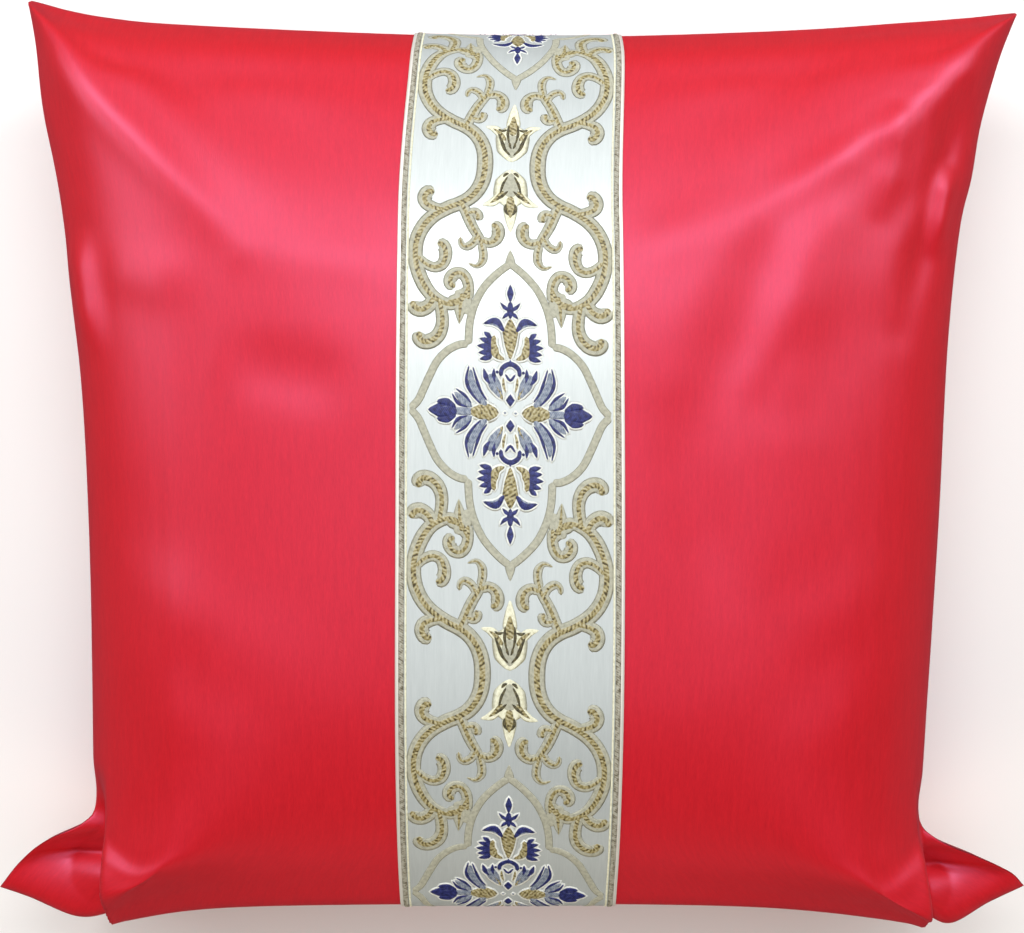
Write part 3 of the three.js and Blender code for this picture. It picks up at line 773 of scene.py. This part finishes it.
for end, veins in ((-1, UPPER_VEINS), (1, LOWER_VEINS)):
    for thread, widths, way in TULIP + veins:
        places = [(x, HALF_REPEAT + end * y) for x, y in way]
        for side in (1, -1) if way[0][0] else (1,):
            thread.stroke(places, widths, side)


def repeat_tree():
    """Geometry nodes that set copies of a flat drawing one repeat apart along the band."""
    tree = bpy.data.node_groups.new("ornament_repeat", "GeometryNodeTree")
    add_sockets(tree, "INPUT", {"Geometry": "Geometry", "Count": "Int", "First place": "Vector",
                                "Repeat": "Vector", "Material": "Material"})
    add_sockets(tree, "OUTPUT", {"Geometry": "Geometry"})
    given = tree.nodes.new("NodeGroupInput").outputs
    made = tree.nodes.new("NodeGroupOutput").inputs
    places = add_node(tree, "GeometryNodeMeshLine", {
        "Count": given["Count"], "Start Location": given["First place"], "Offset": given["Repeat"]})
    copies = add_node(tree, "GeometryNodeInstanceOnPoints", {
        "Points": places.outputs["Mesh"], "Instance": given["Geometry"]})
    real = add_node(tree, "GeometryNodeRealizeInstances", {"Geometry": copies.outputs["Instances"]})
    coloured = add_node(tree, "GeometryNodeSetMaterial", {
        "Geometry": real.outputs["Geometry"], "Material": given["Material"]})
    tree.links.new(coloured.outputs["Geometry"], made["Geometry"])
    return tree


ornament_repeat = repeat_tree()
medallion_at = float(np.interp(MEDALLION_Y, middle_line[:, 1], band_travel))
REPEAT_COUNT = 4
END_MARGIN = 0.8  # from the band's ends to the ends of the threads


def nodes_result(source, tree, settings, name):
    """The plain mesh that a geometry nodes tree makes of an object, which is then removed."""
    modifier = source.modifiers.new(tree.name, "NODES")
    modifier.node_group = tree
    for item in tree.interface.items_tree:
        if item.in_out == "INPUT" and item.name in settings:
            modifier[item.identifier] = settings[item.name]
    bpy.context.view_layer.update()
    evaluated = source.evaluated_get(bpy.context.evaluated_depsgraph_get())
    mesh = bpy.data.meshes.new_from_object(evaluated)
    mesh.name = name
    bpy.data.objects.remove(source)
    return mesh


def ornament_piece(name, threads, material):
    """One kind of thread over the whole band: drawn flat, repeated, cut at its ends, laid on its cloth."""
    drawing = cloth_piece(name + "_drawing", np.vstack(threads.points) / MM, threads.faces,
                          np.vstack(threads.map), material)
    drawing.data.transform(Matrix.Translation(Vector(-to_frame * MM)))
    settings = {"Count": REPEAT_COUNT, "First place": (0.0, medallion_at - 2 * HALF_REPEAT, 0.0),
                "Repeat": (0.0, 2 * HALF_REPEAT, 0.0), "Material": material}
    mesh = nodes_result(drawing, ornament_repeat, settings, name)
    cut = bmesh.new()
    cut.from_mesh(mesh)
    for limit, way in ((END_MARGIN, -1), (band_length - END_MARGIN, 1)):
        everything = cut.verts[:] + cut.edges[:] + cut.faces[:]
        result = bmesh.ops.bisect_plane(cut, geom=everything, plane_co=(0, limit, 0), plane_no=(0, way, 0),
                                        clear_outer=True)
        open_edges = [part for part in result["geom_cut"] if isinstance(part, bmesh.types.BMEdge)]
        bmesh.ops.holes_fill(cut, edges=open_edges, sides=0)
    cut.to_mesh(mesh)
    cut.free()
    flat = np.empty(len(mesh.vertices) * 3)
    mesh.vertices.foreach_get("co", flat)
    x, along, height = flat.reshape(-1, 3).T
    laid = (on_band(x, along - GRAIN_SKEW * x, height) + to_frame) * MM
    mesh.vertices.foreach_set("co", laid.ravel())
    mesh.polygons.foreach_set("use_smooth", np.ones(len(mesh.polygons), bool))
    mesh.update()
    piece = bpy.data.objects.new(name, mesh)
    bpy.context.scene.collection.objects.link(piece)
    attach(piece, "root")
    return piece


STRAND_SLANT = math.radians(32)
UNEVEN_SCALE, UNEVEN_SHARE = 750, 0.85  # the unevenness of the threads' colour
TONE_ENDS = (0.36, 0.48, 0.62)  # places of a thread's three colours, from dark to light
THREAD_HEIGHT = 0.0002


def thread_material(name, tones, roughness, twist):
    """Threads laid side by side across a stroke: bands that slant along it, twist to the metre."""
    material = bpy.data.materials.new(name)
    material.use_nodes = True
    tree = material.node_tree
    surface = tree.nodes["Principled BSDF"]
    surface.inputs["Roughness"].default_value = roughness
    cloth_map = add_node(tree, "ShaderNodeUVMap", {}, uv_map="cloth")
    slanted = add_node(tree, "ShaderNodeMapping", {
        "Vector": cloth_map.outputs["UV"], "Rotation": (0, 0, STRAND_SLANT)})
    strands = add_node(tree, "ShaderNodeTexWave", {
        "Vector": slanted.outputs["Vector"], "Scale": twist, "Distortion": 2.5, "Detail": 2,
        "Detail Scale": 1.4})
    uneven = add_node(tree, "ShaderNodeTexNoise", {
        "Vector": cloth_map.outputs["UV"], "Scale": UNEVEN_SCALE, "Detail": 4})
    tone = add_node(tree, "ShaderNodeMix", {
        "Factor": UNEVEN_SHARE, "A": strands.outputs["Fac"], "B": uneven.outputs["Fac"]})
    colour = add_node(tree, "ShaderNodeValToRGB", {"Fac": tone.outputs["Result"]})
    colour.color_ramp.elements.new(TONE_ENDS[1])
    for stop, position, tint in zip(colour.color_ramp.elements, TONE_ENDS, tones):
        stop.position, stop.color = position, (*tint, 1)
    tree.links.new(colour.outputs["Color"], surface.inputs["Base Color"])
    relief = add_node(tree, "ShaderNodeBump", {
        "Height": strands.outputs["Fac"], "Strength": 0.5, "Distance": THREAD_HEIGHT})
    tree.links.new(relief.outputs["Normal"], surface.inputs["Normal"])
    return material


CREAM_TONES = [(0.66, 0.65, 0.46), (0.80, 0.80, 0.60), (0.88, 0.88, 0.70)]
WHITE_TONES = [(0.72, 0.76, 0.72), (0.80, 0.84, 0.80), (0.86, 0.88, 0.84)]
BEIGE_TONES = [(0.33, 0.33, 0.26), (0.42, 0.42, 0.33), (0.49, 0.49, 0.39)]
GOLD_TONES = [(0.06, 0.045, 0.018), (0.29, 0.24, 0.095), (0.47, 0.43, 0.27)]
SLATE_TONES = [(0.10, 0.13, 0.20), (0.20, 0.24, 0.32), (0.34, 0.38, 0.44)]
NAVY_TONES = [(0.006, 0.008, 0.045), (0.014, 0.018, 0.11), (0.04, 0.05, 0.22)]
OLIVE_TONES = [(0.02, 0.018, 0.008), (0.06, 0.05, 0.022), (0.14, 0.12, 0.05)]
THREAD_KINDS = [
    # piece, its strokes, its material: name, tones, roughness, twist
    ("cream_threads", cream, thread_material("cream_thread", CREAM_TONES, 0.5, 700)),
    ("white_threads", white, thread_material("white_thread", WHITE_TONES, 0.5, 700)),
    ("beige_threads", beige, thread_material("beige_thread", BEIGE_TONES, 0.5, 700)),
    ("gold_threads", gold, thread_material("gold_thread", GOLD_TONES, 0.42, 240)),
    ("slate_threads", slate, thread_material("slate_thread", SLATE_TONES, 0.5, 500)),
    ("navy_threads", navy, thread_material("navy_thread", NAVY_TONES, 0.5, 500)),
    ("olive_threads", olive, thread_material("olive_thread", OLIVE_TONES, 0.5, 500)),
]
ornament = [ornament_piece(*kind) for kind in THREAD_KINDS]

# The band's border: down each side a fine two-ply cord of gold and dark thread beside a plain cream line,
# woven in along the whole length, inside the cream selvedge.
BORDER_CORD_X = 39.3
BORDER_CORD_WIDTH = 2.0
BORDER_LINE_X = 37.7
BORDER_LINE_WIDTH = 0.8
border_cord, border_line = Threads(height=0.4), Threads(height=0.25)
border_run = (END_MARGIN, band_length / 2, band_length - END_MARGIN)
for side in (1, -1):
    for threads, x, width in ((border_cord, BORDER_CORD_X, BORDER_CORD_WIDTH),
                              (border_line, BORDER_LINE_X, BORDER_LINE_WIDTH)):
        threads.stroke([(side * x, along) for along in border_run], (width, width))
CORD_TONES = [(0.10, 0.085, 0.05), (0.33, 0.31, 0.24), (0.46, 0.45, 0.38)]
cord_thread = thread_material("border_thread", CORD_TONES, 0.5, 400)
for name, threads, material in (("border_cords", border_cord, cord_thread),
                                ("border_lines", border_line, THREAD_KINDS[0][2])):
    x, along, height = np.vstack(threads.points).T
    piece = cloth_piece(name, on_band(x, along, height), threads.faces, np.vstack(threads.map), material)
    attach(piece, "root")
    ornament.append(piece)

# The floor is a plain pale sweep under the cushion. It lights the cloth from below, and the satin does not
# mirror it, so that the cloth which turns away stays clear. It is not part of the object.
FLOOR_WIDTH = 8
FLOOR_TONE = (0.86, 0.86, 0.86)
FLOOR_GAP = 0.0004
bpy.ops.mesh.primitive_plane_add(size=FLOOR_WIDTH, location=(0, 0, 0))
floor = bpy.context.object
floor.name = "floor"
floor.data.transform(Matrix.Translation((0, 0, -FLOOR_GAP)))
floor_paint = bpy.data.materials.new("floor_paint")
floor_paint.use_nodes = True
floor_surface = floor_paint.node_tree.nodes["Principled BSDF"]
floor_surface.inputs["Base Color"].default_value = (*FLOOR_TONE, 1)
floor_surface.inputs["Roughness"].default_value = 0.9
floor_surface.inputs["Specular IOR Level"].default_value = 0.1
floor.data.materials.append(floor_paint)
floor.visible_glossy = False

# Soft studio light: three strips beyond the cushion's top edge, a lamp at each side and a fill below, in a
# room whose light falls off all round from above the top edge, so that the cloth which turns away towards
# the bottom edge mirrors only the dark.
DAYLIGHT, WARM = (1.0, 0.98, 0.96), (1.0, 0.86, 0.66)
LAMPS = [
    # name, place, width, depth, watts, colour, whether the cloth mirrors it
    ("middle_strip", (0, 0.52, 0.95), 0.8, 0.18, 3.2, DAYLIGHT, True),
    ("left_strip", (-0.75, 0.80, 0.90), 0.5, 0.18, 4.4, DAYLIGHT, True),
    ("right_strip", (0.75, 0.80, 0.90), 0.5, 0.18, 4.4, DAYLIGHT, True),
    ("left_lamp", (-0.85, 0.30, 0.50), 0.5, 0.4, 2.0, DAYLIGHT, True),
    ("right_lamp", (0.85, 0.42, 0.50), 0.5, 0.4, 1.8, DAYLIGHT, True),
    ("low_fill", (0, -0.95, 0.40), 1.0, 0.3, 3.8, WARM, False),
]
LAMP_AIM = (0, 0.08, 0.1)
for name, place, width, depth, watts, colour, mirrored in LAMPS:
    lamp_data = bpy.data.lights.new(name, "AREA")
    lamp_data.shape, lamp_data.size, lamp_data.size_y = "RECTANGLE", width, depth
    lamp_data.energy, lamp_data.color = watts, colour
    lamp = bpy.data.objects.new(name, lamp_data)
    lamp.location = place
    lamp.rotation_euler = (Vector(place) - Vector(LAMP_AIM)).to_track_quat("Z", "Y").to_euler()
    lamp.visible_glossy = mirrored
    bpy.context.scene.collection.objects.link(lamp)

ROOM_COLOUR = (0.98, 0.99, 1.0)
ROOM_TILT = math.radians(24)
ROOM_LIGHT = 1.42
ROOM_FALL = 3.0  # the higher, the sooner the light falls off
ROOM_LEAST = 0.03
room = bpy.data.worlds.new("soft_room")
room.use_nodes = True
backdrop = room.node_tree.nodes["Background"]
backdrop.inputs["Color"].default_value = (*ROOM_COLOUR, 1)
seen = add_node(room.node_tree, "ShaderNodeTexCoord", {})
light_way = (0, math.sin(ROOM_TILT), math.cos(ROOM_TILT))
towards_light = add_node(room.node_tree, "ShaderNodeVectorMath", {
    0: seen.outputs["Generated"], 1: light_way}, operation="DOT_PRODUCT")
level = towards_light.outputs["Value"]
for operation, amount in (("MAXIMUM", 0), ("POWER", ROOM_FALL), ("MULTIPLY", ROOM_LIGHT),
                          ("ADD", ROOM_LEAST)):
    step = add_node(room.node_tree, "ShaderNodeMath", {0: level, 1: amount}, operation=operation)
    level = step.outputs[0]
room.node_tree.links.new(level, backdrop.inputs["Strength"])
bpy.context.scene.world = room
bpy.context.scene.view_settings.view_transform = "Standard"

# The camera looks straight down onto the face, with the top edge up, as the photograph looks onto it.
CAMERA_HEIGHT = 630
FOCAL_PIXELS = 1430
PICTURE_WIDTH = 1024
camera_lens = bpy.data.cameras.new("camera")
camera_lens.sensor_width = 36
camera_lens.lens = camera_lens.sensor_width * FOCAL_PIXELS / PICTURE_WIDTH
camera_lens.clip_start = 0.01
camera = bpy.data.objects.new("camera", camera_lens)
camera.location = (np.array([0, 0, CAMERA_HEIGHT]) + to_frame) * MM
bpy.context.scene.collection.objects.link(camera)
bpy.context.scene.camera = camera
